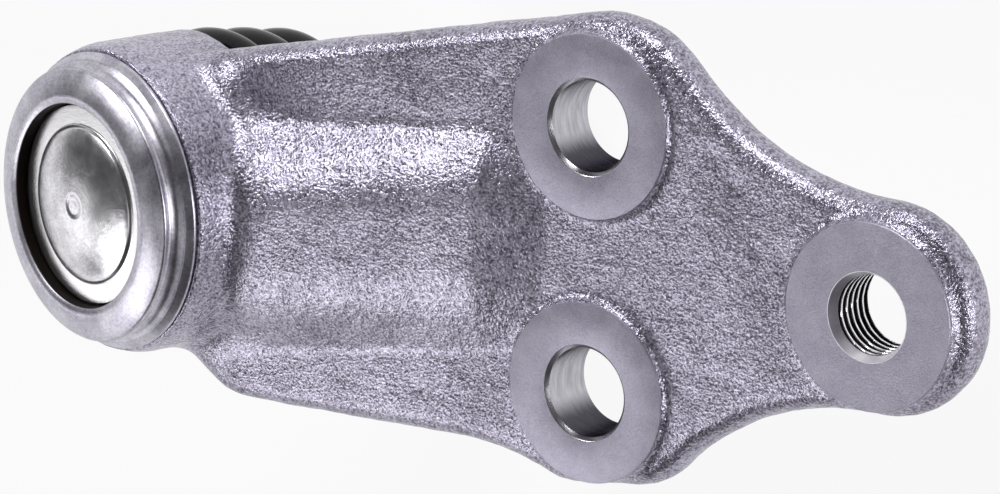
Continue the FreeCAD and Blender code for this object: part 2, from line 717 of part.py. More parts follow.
nut_slot.SideType = "Symmetric"
nut_slot.setExpression("Length", bind("2 * (nut_crown_height - 0.3)"))
doc.recompute()
slots = nut.newObject("PartDesign::PolarPattern", "nut_slots")
slots.Originals = [nut_slot]
slots.Axis = (plane(nut, "Z_Axis"), [""])
slots.Angle = 360
nut.Tip = slots
slots.Occurrences = 3
doc.recompute()

# Split pin: one wire with two legs, a round eye and spread ends.
pin = leaned("split_pin")
pin_path = sketch_on(pin, "pin_path", "YZ_Plane")
leg, bend, join = size("pin_leg_offset"), size("pin_bend"), size("pin_eye_join")
eye, reach = size("pin_eye"), size("nut_flats / 2 + pin_leg_gap")
centre_y, axis_z = size("0 - nut_crown_radius - pin_eye_gap - pin_eye"), -size("pin_hole_depth")
step = math.sqrt((eye + join) ** 2 - (leg + join) ** 2)


def at(y, z):
    return Vector(y, axis_z + z, 0)


def three_point(start, middle, end):
    pin_path.addGeometry(Part.Arc(start, middle, end), False)


def straight(start, end):
    pin_path.addGeometry(Part.LineSegment(start, end), False)


def wrapped(side, corner, tip):
    """One leg from its bent tip to the eye's joining arc."""
    slack = bend * (1 - math.sqrt(0.5))
    straight(at(corner, side * (leg + tip)), at(corner, side * (leg + bend)))
    three_point(
        at(corner, side * (leg + bend)),
        at(corner - slack, side * (leg + slack)),
        at(corner - bend, side * leg),
    )
    straight(at(corner - bend, side * leg), at(centre_y + step, side * leg))
    share = eye / (eye + join)
    touch = at(centre_y + step * share, side * (leg + join) * share)
    turn_middle = Vector(centre_y + step, axis_z + side * (leg + join), 0)
    toward = (at(centre_y + step, side * leg) - turn_middle) + (touch - turn_middle)
    three_point(
        at(centre_y + step, side * leg),
        turn_middle + toward * (join / toward.Length),
        touch,
    )
    return touch


upper_touch = wrapped(1, reach, size("pin_upper_tip"))
lower_touch = wrapped(-1, reach - size("pin_stagger"), size("pin_lower_tip"))
three_point(upper_touch, at(centre_y - eye, 0), lower_touch)
doc.recompute()
tip_place = Placement(Vector(0, reach, axis_z + leg + size("pin_upper_tip")), Rotation())
wire_sketch = sketch_on(pin, "pin_section", "XY_Plane", tip_place)
circles(wire_sketch, (("0", "0"),), "pin_wire_radius")
doc.recompute()
wire = pin.newObject("PartDesign::AdditivePipe", "pin_wire")
wire.Profile = wire_sketch
wire.Spine = (pin_path, [f"Edge{i}" for i in range(1, len(pin_path.Shape.Edges) + 1)])
doc.recompute()

# Dust boot: a rubber bellows with three folds, and the steel rings at its two ends.
socket_ring = leaned("boot_socket_ring")
ring_inner = "(spigot_radius + fit_gap)"
ring_outer = "(spigot_radius + socket_ring_wall)"
turn(socket_ring, "ring_section", [
    (ring_inner, "0 - spigot_end + 0.4"),
    (ring_outer, "0 - spigot_end + 0.4"),
    (ring_outer, "0 - body_bottom - 0.5"),
    (ring_inner, "0 - body_bottom - 0.5"),
])

boot = leaned("dust_boot")
boot_top = "(0 - body_bottom - boot_gap)"
boot_inner = "(spigot_radius + socket_ring_wall + boot_gap)"
valley_1 = ("(fold_radius_1 - fold_depth)", f"({boot_top} - 0.88 * fold_pitch)")
valley_2 = ("(fold_radius_2 - fold_depth)", f"({boot_top} - 1.88 * fold_pitch)")
valley_3 = ("(fold_radius_3 - fold_depth + 0.4)", f"({boot_top} - 2.82 * fold_pitch)")
collar_inner = "(land_radius + boot_gap)"
groove_r = "(stud_ring_radius - stud_ring_wire - boot_gap)"
groove_top = "(0 - boot_end + boot_collar_height / 2 + stud_ring_wire + boot_gap)"
groove_low = "(0 - boot_end + boot_collar_height / 2 - stud_ring_wire - boot_gap)"
boot_profile = [
    (collar_inner, "0 - boot_end"),
    (f"{groove_r} + 0.9", "0 - boot_end"),
    (f"{groove_r} + 0.9", groove_low),
    (groove_r, groove_low),
    (groove_r, groove_top),
    (f"{groove_r} + 1.6", groove_top),
    (*valley_3, 0.9),
    (*valley_2, 0.93),
    (*valley_1, 0.93),
    (f"{boot_inner} + 0.9", boot_top),
    (boot_inner, boot_top),
    (boot_inner, f"{boot_top} - 3.8"),
    (f"{valley_1[0]} - boot_wall", valley_1[1], -0.62),
    (f"{valley_2[0]} - boot_wall", valley_2[1], -0.62),
    (f"{valley_3[0]} - boot_wall", f"{valley_3[1]} + 0.3"),
    (collar_inner, f"{groove_top} + 0.4"),
]
turn(boot, "bellows", boot_profile)

stud_ring = leaned("boot_stud_ring")
ring_wire = sketch_on(stud_ring, "ring_wire")
circles(ring_wire, (("stud_ring_radius", "boot_collar_height / 2 - boot_end"),), "stud_ring_wire")
ring_turned = stud_ring.newObject("PartDesign::Revolution", "ring_turned")
ring_turned.Profile = ring_wire
ring_turned.ReferenceAxis = (ring_wire, ["V_Axis"])
ring_turned.Angle = 360
doc.recompute()

# Every object has to be sound before the pieces are written.
for item in doc.Objects:
    if {"Invalid", "Error"} & set(item.State):
        raise RuntimeError(f"{item.Name}: {item.getStatusString()}")

PIECES = (
    housing, cap, upper_seat, lower_seat, spring, stud, nut, pin, boot, socket_ring, stud_ring,
)
for piece in PIECES:
    if piece.Shape.isNull() or not piece.Shape.isValid() or len(piece.Shape.Solids) != 1:
        raise RuntimeError(f"{piece.Label} is not one valid solid")
    piece.Shape.exportStep(f"parts/{piece.Label}.step")
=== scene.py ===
import math

import bmesh
import bpy
import numpy as np
from mathutils import Matrix, Vector, noise


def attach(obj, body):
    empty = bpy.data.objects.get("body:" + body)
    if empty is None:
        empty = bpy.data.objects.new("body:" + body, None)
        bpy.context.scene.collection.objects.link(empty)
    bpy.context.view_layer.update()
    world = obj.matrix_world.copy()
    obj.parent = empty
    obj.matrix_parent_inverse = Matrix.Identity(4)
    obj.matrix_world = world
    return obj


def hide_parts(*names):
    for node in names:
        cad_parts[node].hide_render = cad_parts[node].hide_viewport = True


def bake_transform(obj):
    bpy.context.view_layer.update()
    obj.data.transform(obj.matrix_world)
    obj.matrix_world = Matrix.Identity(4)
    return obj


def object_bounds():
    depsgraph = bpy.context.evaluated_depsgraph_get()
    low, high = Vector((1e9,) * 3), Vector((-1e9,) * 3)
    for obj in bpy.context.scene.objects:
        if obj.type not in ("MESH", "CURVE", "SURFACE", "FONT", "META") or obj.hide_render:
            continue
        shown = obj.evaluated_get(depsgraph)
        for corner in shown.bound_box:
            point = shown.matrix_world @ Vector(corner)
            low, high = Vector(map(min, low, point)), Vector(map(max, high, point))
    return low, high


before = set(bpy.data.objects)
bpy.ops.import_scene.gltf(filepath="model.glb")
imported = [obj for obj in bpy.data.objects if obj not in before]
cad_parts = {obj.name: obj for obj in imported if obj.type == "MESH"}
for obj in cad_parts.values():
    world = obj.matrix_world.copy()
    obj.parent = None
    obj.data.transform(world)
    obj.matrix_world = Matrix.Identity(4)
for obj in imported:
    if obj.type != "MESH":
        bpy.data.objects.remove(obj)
cad_low, cad_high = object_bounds()

# Forged housing: one steel forging with a plate, a ridged neck and a round socket, shot-blasted
# and zinc coated. Its skin is grainy and softly rounded. The machined places sink below pieces
# of their own.
MM = 0.001
lean = math.radians(12.4)
socket_turn = Matrix.Rotation(-lean, 3, "Y")
bolt_holes = {"upper": (78.1, 21.8), "lower": (78.1, -14.8), "front": (122.5, 3.5)}
plain_bore, spot_radius, spot_front, spot_back = 6.2, 12.5, 5.5, -3.4


class Wire:
    """An output of a finish's nodes. Arithmetic on it adds Math nodes."""

    def __init__(self, socket):
        self.socket = socket

    def feed(self, target):
        """Links this output to an input socket."""
        self.socket.id_data.links.new(self.socket, target)

    def beside(self, name):
        """Another output of the same node."""
        return Wire(self.socket.node.outputs[name])

    def node(self, kind, settings=None, inputs=None, out=0):
        """A new node in the same tree: its settings come first, then what its inputs hold."""
        made = self.socket.id_data.nodes.new(kind)
        for key, value in (settings or {}).items():
            if key == "stops":
                for stop, (place, colour) in zip(made.color_ramp.elements, value):
                    stop.position, stop.color = place, (*colour, 1)
            else:
                setattr(made, key, value)
        for key, value in (inputs or {}).items():
            if isinstance(value, Wire):
                value.feed(made.inputs[key])
            else:
                made.inputs[key].default_value = value
        return Wire(made.outputs[out])

    def math(self, operation, *values):
        return self.node("ShaderNodeMath", {"operation": operation}, dict(enumerate(values)))

    def __add__(self, other):
        return self.math("ADD", self, other)

    def __radd__(self, other):
        return self.math("ADD", other, self)

    def __sub__(self, other):
        return self.math("SUBTRACT", self, other)

    def __rsub__(self, other):
        return self.math("SUBTRACT", other, self)

    def __mul__(self, other):
        return self.math("MULTIPLY", self, other)

    def __rmul__(self, other):
        return self.math("MULTIPLY", other, self)

    def root(self):
        return self.math("SQRT", self)

    def most(self, other):
        """The larger of the two."""
        return self.math("MAXIMUM", self, other)

    def between(self, low, high):
        """0 below low, 1 above high."""
        values = {"Value": self, "From Min": low, "From Max": high}
        return self.node("ShaderNodeMapRange", {"interpolation_type": "SMOOTHSTEP"}, values)

    def ramp(self, *stops):
        """A colour between two stops of (place, colour)."""
        return self.node("ShaderNodeValToRGB", {"stops": stops}, {"Fac": self})

    def towards(self, colour, share):
        """This colour mixed with another one by a share."""
        values = {"Factor": share, "A": self, "B": (*colour, 1)}
        return self.node("ShaderNodeMix", {"data_type": "RGBA"}, values, 2)

    def grain(self, scale_and_painted_shade, detail, roughness=0.5):
        values = {"Vector": self, "Scale": scale_and_painted_shade, "Detail": detail, "Roughness": roughness}
        return self.node("ShaderNodeTexNoise", {}, values)

    def parts(self):
        """The three parts of a vector."""
        first = self.node("ShaderNodeSeparateXYZ", {}, {"Vector": self})
        return [first.beside(name) for name in "XYZ"]

    def bump(self, height, strength, normal=None):
        values = {"Height": self, "Distance": height, "Strength": strength}
        if normal is not None:
            values["Normal"] = normal
        return self.node("ShaderNodeBump", {}, values)


def new_finish(name, **constants):
    """A material, the wire of its place on the object and a way to set its shader's sockets."""
    made = bpy.data.materials.new(name)
    made.use_nodes = True
    tree = made.node_tree
    shader = tree.nodes["Principled BSDF"]

    def paint(**sockets):
        for key, value in sockets.items():
            target = shader.inputs[key.replace("_", " ")]
            if isinstance(value, Wire):
                value.feed(target)
            else:
                target.default_value = value

    paint(**constants)
    return made, Wire(tree.nodes.new("ShaderNodeTexCoord").outputs["Object"]), paint


def linked(name, data):
    """A new object in the scene."""
    made = bpy.data.objects.new(name, data)
    bpy.context.scene.collection.objects.link(made)
    return made


def new_piece(name, mesh, finish, body, sharp):
    """A piece from a mesh in metres, in the row frame. Edges above the sharp angle stay hard."""
    made = linked(name, mesh)
    mesh.materials.clear()
    mesh.materials.append(finish)
    mesh.shade_smooth()
    mesh.set_sharp_from_angle(angle=math.radians(sharp))
    if body:
        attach(made, body)
    return made


def mesh_of(name, form):
    """The mesh of a form, which is freed."""
    mesh = bpy.data.meshes.new(name)
    form.to_mesh(mesh)
    form.free()
    return mesh


def voxels_of(node, voxel):
    """The mesh of a CAD node made over in even small faces."""
    form = bmesh.new()
    form.from_mesh(node.data)
    bmesh.ops.remove_doubles(form, verts=form.verts, dist=1e-6)
    holder = linked("holder", mesh_of("copy", form))
    remesh = holder.modifiers.new("remesh", "REMESH")
    remesh.mode = "VOXEL"
    remesh.voxel_size = voxel
    graph = bpy.context.evaluated_depsgraph_get()
    mesh = bpy.data.meshes.new_from_object(holder.evaluated_get(graph))
    bpy.data.objects.remove(holder)
    return mesh


def read_vertices(mesh, key):
    """The place (co) or the normal of each vertex."""
    painted_highlight_ring = np.zeros(len(mesh.vertices) * 3)
    mesh.vertices.foreach_get(key, painted_highlight_ring)
    return painted_highlight_ring.reshape(-1, 3)


def move_vertices(mesh, points):
    mesh.vertices.foreach_set("co", (points * MM).ravel())
    mesh.update()


def settle(points, edges, share, pulls):
    """Evens out points along the edges, each by its own share, with one round for each pull.
    A negative pull gives back what the round before it took from the form."""
    first, second = edges[:, 0], edges[:, 1]
    count = np.bincount(edges.ravel(), minlength=len(points))[:, None]
    for pull in pulls:
        total = np.stack(
            [
                np.bincount(first, points[second, k], len(points))
                + np.bincount(second, points[first, k], len(points))
                for k in range(3)
            ],
            axis=1,
        )
        points = points + pull * share[:, None] * (total / np.maximum(count, 1) - points)
    return points


def ease(value, low, high):
    """0 below low, 1 above high."""
    t = np.clip((value - low) / (high - low), 0, 1)
    return t * t * (3 - 2 * t)


voxel, fillet_rounds = ((0.6, 70))
skin_mesh = voxels_of(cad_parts["forged_housing"], voxel * MM)
points = read_vertices(skin_mesh, "co") / MM
edges = np.zeros(len(skin_mesh.edges) * 2, int)
skin_mesh.edges.foreach_get("vertices", edges)
edges = edges.reshape(-1, 2)

# The skin is rounded and uneven by a share, which is 0 on the spot faces, under the rim's flange,
# inside the socket and on the boot's spigot. Local places lie along the socket's leaned axis.
to_socket = np.array(socket_turn.transposed())
body_reach, opening, spigot_reach = 23, 17.2, 24
spot_edge, flange_edge, spigot_edge = (12.7, 13.6), (10.6, 11.2), (5.6, 6.2)
local = points @ to_socket.T
from_axis = np.hypot(local[:, 0], local[:, 1])
hole_reaches = [np.hypot(points[:, 0] - x, points[:, 1] - y) for x, y in bolt_holes.values()]
rough = ease(np.min(hole_reaches, axis=0), *spot_edge)
rough *= 1 - ease(local[:, 2], *flange_edge) * (from_axis < body_reach)
rough *= 1 - (from_axis < opening)
rough *= 1 - (from_axis < spigot_reach) * ease(-local[:, 2], *spigot_edge)
# A hollow fillet runs where the ridge and the web meet the socket's body on the capped side.
valley_radius, valley_edge, arm_edge, web_edge = 23.4, (2.6, 7.0), (2, 7), (1.5, 4)
fillet = rough * (1 - ease(np.abs(from_axis - valley_radius), *valley_edge))
fillet *= ease(points[:, 0], *arm_edge) * ease(points[:, 2], *web_edge)
rounding, filleting = (0.5, -0.52) * 8, (0.5,) * fillet_rounds
points = settle(points, edges, rough, rounding)
points = settle(points, edges, fillet, filleting)
move_vertices(skin_mesh, points)
# Long and short waves of the skin: how often in a mm, and how high in mm.
waves = ((0.16, 0.16), (0.6, 0.07))
uneven = [sum(noise.noise(Vector(p) * often) * height for often, height in waves) for p in points]
points = points + read_vertices(skin_mesh, "normal") * (np.array(uneven) * rough)[:, None]
# Small pits and nicks in the capped side: x, y, radius and depth.
pitted_above = 2
for x, y, radius, depth in (
    (97.5, 20.4, 0.9, 0.35), (94.2, 24.6, 0.7, 0.3), (101.0, 17.2, 1.3, 0.3), (88.8, 33.0, 0.6, 0.3),
    (61.0, 26.0, 0.7, 0.25), (104.5, 9.0, 0.8, 0.25), (48.0, -20.0, 0.9, 0.25), (58.0, -3.0, 0.7, 0.2),
):
    near = np.hypot(points[:, 0] - x, points[:, 1] - y)
    points[:, 2] -= (points[:, 2] > pitted_above) * depth * np.exp(-((near / radius) ** 2))
# The skin sinks where a machined piece covers it: level under the rim's flange, low and wide
# inside the rim, and back from the spot faces and the bores.
flange_seat, rim_inside, rim_outside, rim_edge = 10.9, 15.4, 18.2, 15.6
seat_reach, sink, bore_reach, bore_skin = 12.45, 0.3, 9, 8.0
local = points @ to_socket.T
from_axis = np.maximum(np.hypot(local[:, 0], local[:, 1]), 1e-6)
turned = (local[:, 2] > flange_seat) & (from_axis < body_reach)
reach = np.where(turned, np.maximum(from_axis, rim_inside), from_axis)
local[:, :2] *= (reach / from_axis)[:, None]
sunk = np.where(from_axis > rim_outside, flange_seat, np.minimum(local[:, 2], rim_edge))
local[:, 2] = np.where(turned, sunk, local[:, 2])
points = local @ to_socket
for x, y in bolt_holes.values():
    across = points[:, :2] - (x, y)
    reach = np.hypot(across[:, 0], across[:, 1])
    level = np.clip(points[:, 2], spot_back + sink, spot_front - sink)
    points[:, 2] = np.where(reach < seat_reach, level, points[:, 2])
    wider = np.maximum(reach, bore_skin) / np.maximum(reach, 1e-6)
    inside = (reach < bore_reach)[:, None]
    points[:, :2] = np.where(inside, (x, y) + across * wider[:, None], points[:, :2])
move_vertices(skin_mesh, points)

forged, place, paint = new_finish("shot_blasted_forging", Metallic=0.72)
grain = place.grain(2800, 2)
coarse = place.grain(1200, 2)
cloud = place.grain(60, 3)
tone = grain * 0.55 + coarse * 0.25 + cloud * 0.2
paint(
    Base_Color=tone.ramp((0.4, (0.13, 0.118, 0.16)), (0.6, (0.52, 0.493, 0.605))),
    Roughness=0.18 + 0.1 * coarse,
    Normal=grain.bump(0.00013, 1.0, coarse.bump(0.00013, 0.8)),
)
skin = new_piece("forged_skin", skin_mesh, forged, "housing", 180)
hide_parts("forged_housing")

# Machined seats of the three bolt holes: milled spot faces, two reamed bores and one tapped bore
# with a long lead in front and a short one behind. They are cut in the forging, and the front
# lead is coated with it.
chamfer = 0.5
pitch, minor, major = 1.25, 5.325, 6.0
lead, lead_depth, back_depth, runout = 0.62, 1.45, 0.4, 0.4


def ring_of(radii, height, centre=None):
    """A ring of spots in mm, with a radius for each. It lies about the socket's leaned axis, or
    about an upright one through a centre."""
    spots = []
    for i, radius in enumerate(radii):
        angle = 2 * math.pi * i / len(radii)
        spot = Vector((radius * math.cos(angle), radius * math.sin(angle), height))
        spots.append(socket_turn @ spot if centre is None else spot + Vector((*centre, 0)))
    return spots


def swept(name, rings, closed=False, capped=False):
    """A mesh over rings of spots. A ring of one spot is a tip. Closed joins the last ring to the
    first one, and capped fills the first and the last."""
    form = bmesh.new()
    rows = [[form.verts.new(spot * MM) for spot in ring] for ring in rings]
    after = rows[1:] + rows[:1] if closed else rows[1:]
    for low, high in zip(rows, after):
        for i in range(max(len(low), len(high))):
            j = i + 1
            corners = (low[i % len(low)], low[j % len(low)], high[j % len(high)], high[i % len(high)])
            corners = list(dict.fromkeys(corners))
            if len(corners) > 2:
                form.faces.new(corners)
    if capped:
        form.faces.new(rows[0])
        form.faces.new(rows[-1])
    bmesh.ops.recalc_face_normals(form, faces=form.faces)
    return mesh_of(name, form)


def lathe(name, outline, segments, centre=None, closed=True):
    """A mesh turned from an outline of (radius, height) in mm."""
    rings = [
        ring_of([radius] * (1 if radius < 1e-6 else segments), height, centre)
        for radius, height in outline
    ]
    return swept(name, rings, closed)


def softened(corners, steps=4):
    """An outline whose corners (radius, height, rounding) are rounded."""
    made = []
    for i, corner in enumerate(corners):
        spot = Vector(corner[:2])
        if len(corner) < 3:
            made.append(tuple(spot))
            continue
        before = (Vector(corners[i - 1][:2]) - spot).normalized() * corner[2]
        after = (Vector(corners[(i + 1) % len(corners)][:2]) - spot).normalized() * corner[2]
        for k in range(steps + 1):
            t = k / steps
            made.append(tuple(spot + before * (1 - t) ** 2 + after * t ** 2))
    return made


def reach_of(face, centre):
    """How far the middle of a face is from a bolt hole's axis, in mm."""
    middle = face.center / MM
    return math.hypot(middle.x - centre[0], middle.y - centre[1])


milled, place, paint = new_finish("milled_face", Metallic=0.7)
fine = place.grain(5200, 2, 0.6)
worn = place.grain(300, 3, 0.6)
tone = fine * 0.6 + worn * 0.4
paint(
    Base_Color=tone.ramp((0.36, (0.26, 0.245, 0.31)), (0.64, (0.4, 0.38, 0.46))),
    Roughness=0.34 + 0.14 * worn,
    Normal=fine.bump(0.00005, 0.7),
)
reamed, place, paint = new_finish("reamed_bore", Metallic=0.95, Specular_Tint=(0.2, 0.2, 0.2, 1))
stretched = place.node("ShaderNodeMapping", {}, {"Vector": place, "Scale": (260, 260, 1500)})
scored = stretched.grain(1, 3, 0.6)
bright = scored.ramp((0.35, (0.42, 0.41, 0.45)), (0.65, (0.6, 0.59, 0.63)))
# Painted shade: each bore's colour is darkened on its -Y side, standing in for the dark that side reflects.
painted_dark_side = (place.beside("Normal").parts()[1] + scored * 0.3).between(0.5, 0.95)
paint(
    Base_Color=bright.towards((0.05, 0.046, 0.06), painted_dark_side * 0.9),
    Roughness=0.15 + 0.2 * scored,
    Normal=scored.bump(0.00003, 0.5),
)
tapped_steel, place, paint = new_finish("tapped_thread", Metallic=1.0)
x, y = place.parts()[:2]
x, y = x - bolt_holes["front"][0] * MM, y - bolt_holes["front"][1] * MM
# The thread's colour is bright on the crests and near-black on the flanks and roots.
rootward = (x * x + y * y).root().between(0.00535, 0.00546)
paint(
    Base_Color=rootward.ramp((0.0, (0.84, 0.83, 0.86)), (1.0, (0.022, 0.02, 0.026))),
    Roughness=0.22 + 0.2 * rootward,
)
coated, place, paint = new_finish("coated_lead", Metallic=0.3, Roughness=0.3)
worn = place.grain(500, 3, 0.6)
bright = worn.ramp((0.35, (0.62, 0.6, 0.66)), (0.65, (0.84, 0.82, 0.87)))
# Painted shade: the lead's colour is darkened on its -X side.
painted_dark_side = place.beside("Normal").parts()[0].between(0.15, 0.85)
paint(
    Base_Color=bright.towards((0.1, 0.09, 0.12), painted_dark_side * 0.85),
    Normal=worn.bump(0.00004, 0.5),
)

seat_outline = softened([
    (spot_radius, spot_back, 0.12),
    (spot_radius, spot_front, 0.12),
    (plain_bore + chamfer, spot_front, 0.08),
    (plain_bore, spot_front - chamfer),
    (plain_bore, 1),
    (plain_bore, spot_back + chamfer),
    (plain_bore + chamfer, spot_back, 0.08),
], 2)
for label in ("upper", "lower"):
    name, centre = f"{label}_bolt_seat", bolt_holes[label]
    mesh = lathe(name, seat_outline, 192, centre)
    new_piece(name, mesh, milled, "housing", 30)
    mesh.materials.append(reamed)
    for face in mesh.polygons:
        face.material_index = int(reach_of(face, centre) < plain_bore + chamfer - 0.02)


def groove_share(angle, level, rise, painted_highlight_ring, flank):
    """How deep a helical groove is at a place: 0 on the crest, 1 at the root. The flat and the
    flank are shares of half a turn, and the rise is the height of a whole one."""
    turn = (level / rise - angle / (2 * math.pi)) % 1
    wave = 1 - abs(2 * turn - 1)
    return min(max((wave - painted_highlight_ring) / flank, 0), 1)


def tapped_radius(angle, level):
    """The tapped bore: its thread or one of its leads, whichever is wider."""
    depth, rest = spot_front - level, level - spot_back
    opened = min(max((depth - lead_depth) / runout, 0), 1)
    groove = groove_share(angle, level, pitch, painted_highlight_ring=0.25, flank=0.625)
    thread = minor + (major - minor) * opened * groove
    return max(thread, minor + lead * (1 - depth / lead_depth), minor + lead * (1 - rest / back_depth))


def tapped_mesh(name, centre, segments=160, steps=120, edge=0.1):
    """The tapped seat: a milled ring with a broken edge round the tapped bore."""
    angles = [2 * math.pi * i / segments for i in range(segments)]
    mouth = minor + lead + edge
    front = ((spot_radius, spot_front - edge), (spot_radius - edge, spot_front), (mouth, spot_front))
    back = ((mouth, spot_back), (spot_radius - edge, spot_back), (spot_radius, spot_back + edge))
    rings = [ring_of([radius] * segments, level, centre) for radius, level in front]
    for k in range(steps + 1):
        level = spot_front - (spot_front - spot_back) * k / steps
        rings.append(ring_of([tapped_radius(angle, level) for angle in angles], level, centre))
    rings += [ring_of([radius] * segments, level, centre) for radius, level in back]
    return swept(name, rings, closed=True)


tapped = tapped_mesh("tapped_bolt_seat", bolt_holes["front"])
new_piece("tapped_bolt_seat", tapped, milled, "housing", 30)
tapped.materials.append(coated)
tapped.materials.append(tapped_steel)
for face in tapped.polygons:
    if reach_of(face, bolt_holes["front"]) < major + 0.1:
        face.material_index = 1 if spot_front - face.center.z / MM < lead_depth else 2

# Turned rim of the socket: after the cap goes in, the housing's edge is turned to a flange and a
# groove and rolled inwards over the cap. Bare bright steel with fine turning marks.
cap_wall = 0.01485


def along_socket(place):
    """The three parts of a place, along the socket's leaned axes."""
    values = {"Vector": place, "Angle": lean}
    return place.node("ShaderNodeVectorRotate", {"rotation_type": "Y_AXIS"}, values).parts()


turned_steel, place, paint = new_finish("turned_steel", Metallic=1.0)
x, y, z = along_socket(place)
from_middle = (x * x + y * y).root()
turning = from_middle * 1800 + z * 1800
rings = turning.node("ShaderNodeTexNoise", {"noise_dimensions": "1D"}, {"W": turning, "Detail": 3.0})
haze = place.grain(260, 4, 0.6)
speck = place.grain(2400, 2, 0.6)
tone = haze * 0.4 + rings * 0.25 + speck * 0.35
steel = tone.ramp((0.38, (0.31, 0.295, 0.365)), (0.62, (0.62, 0.605, 0.66)))
# The wall round the cap is coloured near-black: painted shade for the deep recess, together with the dark
# scale that no tool reaches after the rolling.
scale_and_painted_shade = (cap_wall - from_middle).between(0, 0.0002)
paint(
    Base_Color=steel.towards((0.012, 0.009, 0.008), scale_and_painted_shade),
    Roughness=0.27 + 0.14 * haze + 0.3 * scale_and_painted_shade,
    Normal=(rings * 0.3 + haze * 0.3 + speck * 0.4).bump(0.00005, 0.5),
)
rim_outline = softened([
    (14.6, 14.68), (14.6, 16.5, 0.3), (15.6, 16.86, 0.5), (17.6, 16.4, 1.2), (19.66, 15.37, 0.35),
    (19.66, 15.03, 0.15), (18.9, 14.53, 0.2), (18.9, 14.03, 0.2), (19.35, 13.1, 0.5), (20.45, 12.43, 0.15),
    (21.35, 11.53, 0.2), (21.35, 11.2, 0.1), (20.6, 10.8), (17.2, 10.8), (17.2, 14.68),
])
rim_mesh = lathe("turned_rim", rim_outline, 224)
new_piece("turned_rim", rim_mesh, turned_steel, "housing", 25)

# End cap: a pressed steel plate with a raised middle and a centre punch mark, closed in by the
# rolled rim. Bright, with a flat ring round the crown whose colour is lightened as a painted
# highlight, and a little rust where it meets the rim.
crown_radius, crown_foot, crown_rise = 11.1, 15.35, 1.7
cap_steel, place, paint = new_finish("pressed_cap", Metallic=1.0)
x, y = along_socket(place)[:2]
from_middle = (x * x + y * y).root()
haze = place.grain(330, 4, 0.6)
speck = place.grain(3000, 2, 0.6)
rust = from_middle.between(0.0136, 0.0146) * haze.between(0.42, 0.56)
# Painted highlight: the flat ring's colour is lightened towards white.
painted_highlight_ring = from_middle.between(0.0111, 0.0115)
steel = (haze * 0.6 + speck * 0.4).ramp((0.36, (0.52, 0.505, 0.55)), (0.62, (0.82, 0.81, 0.84)))
paint(
    Base_Color=steel.towards((0.86, 0.85, 0.87), painted_highlight_ring * 0.75).towards((0.07, 0.045, 0.035), rust * 0.8),
    Roughness=0.19 + 0.12 * haze,
    Normal=(speck * 0.4 + haze * 0.6).bump(0.00005, 0.6),
)
crown = [
    (r, crown_foot + crown_rise * (1 - (r / crown_radius) ** 2))
    for r in np.linspace(10.9, 2.3, 10)
]
cap_outline = softened([
    (0, 13.7), (9.4, 13.3), (10.2, 12.25), (16.38, 12.25), (16.38, 14.58), (14.55, 14.58), (14.3, 14.9, 0.12),
    (11.45, 14.9, 0.2), (11.1, 15.28, 0.12), *crown,
    (1.9, 17.02, 0.3), (1.2, 16.84, 0.3), (0.5, 16.88, 0.2), (0, 16.9),
])
cap_mesh = lathe("pressed_cap", cap_outline, 192, closed=False)
cap = new_piece("pressed_cap", cap_mesh, cap_steel, "housing", 40)
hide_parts("end_cap")

# Seats, spring and boot rings: two moulded plastic cups hold the ball, a coned steel disc presses
# the upper one down, and two steel rings hold the boot. They all keep their CAD shapes.


def finish_node(name, finish):
    """Gives a piece that keeps its CAD shape its finish."""
    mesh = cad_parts[name].data
    mesh.materials.clear()
    mesh.materials.append(finish)


cup_plastic, place, paint = new_finish("moulded_cup", Roughness=0.42)
mottle = place.grain(240, 3)
paint(
    Base_Color=mottle.ramp((0.3, (0.74, 0.72, 0.63)), (0.7, (0.84, 0.82, 0.74))),
    Normal=mottle.bump(0.00003, 0.4),
)
dark_steel, place, paint = new_finish("oiled_spring_steel", Metallic=1.0)
mottle = place.grain(900, 3)
paint(
    Base_Color=mottle.ramp((0.3, (0.2, 0.2, 0.21)), (0.7, (0.34, 0.34, 0.35))),
    Roughness=0.24 + 0.2 * mottle,
    Normal=mottle.bump(0.00003, 0.5),
)
for name in ("upper_bearing_seat", "lower_bearing_seat"):
    finish_node(name, cup_plastic)
for name in ("preload_spring", "boot_socket_ring", "boot_stud_ring"):
    finish_node(name, dark_steel)

# Ball stud: one forged steel pin, hardened and ground, with a ball, a sealing land, a taper for
# the knuckle and a rolled thread with a cross hole.
ball, neck, top_flat = 12.5, (6.75, -10.52), (5.551, 11.2)
ground, place, paint = new_finish("ground_steel", Metallic=1.0)
turning = along_socket(place)[2] * 14000
rings = turning.math("SINE", turning)
haze = place.grain(380, 4, 0.6)
tone = haze * 0.85 + rings * 0.05
paint(
    Base_Color=tone.ramp((0.3, (0.46, 0.46, 0.48)), (0.65, (0.7, 0.7, 0.72))),
    Roughness=0.17 + 0.16 * haze,
    Normal=(rings * 0.3 + haze).bump(0.00003, 0.5),
)
ball_arc = [
    (ball * math.cos(a), ball * math.sin(a))
    for a in np.linspace(math.atan2(neck[1], neck[0]), math.atan2(top_flat[1], top_flat[0]), 40)
]
shank_outline = softened([
    (0, -46.4), (5.6, -46.4), (6.1, -46.1, 0.1), (6.1, -44.95, 0.3), (7.875, -44.5, 0.2), (8.75, -30.5, 0.2),
    (8.9, -29.5, 0.2), (8.9, -23.2, 0.8), (7.2, -16.4, 2.0), (6.75, -13.5, 1.0), *ball_arc, (0, 11.2),
])
shank_mesh = lathe("stud_shank", shank_outline, 144, closed=False)
shank = new_piece("stud_shank", shank_mesh, ground, "stud", 30)
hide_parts("ball_stud")


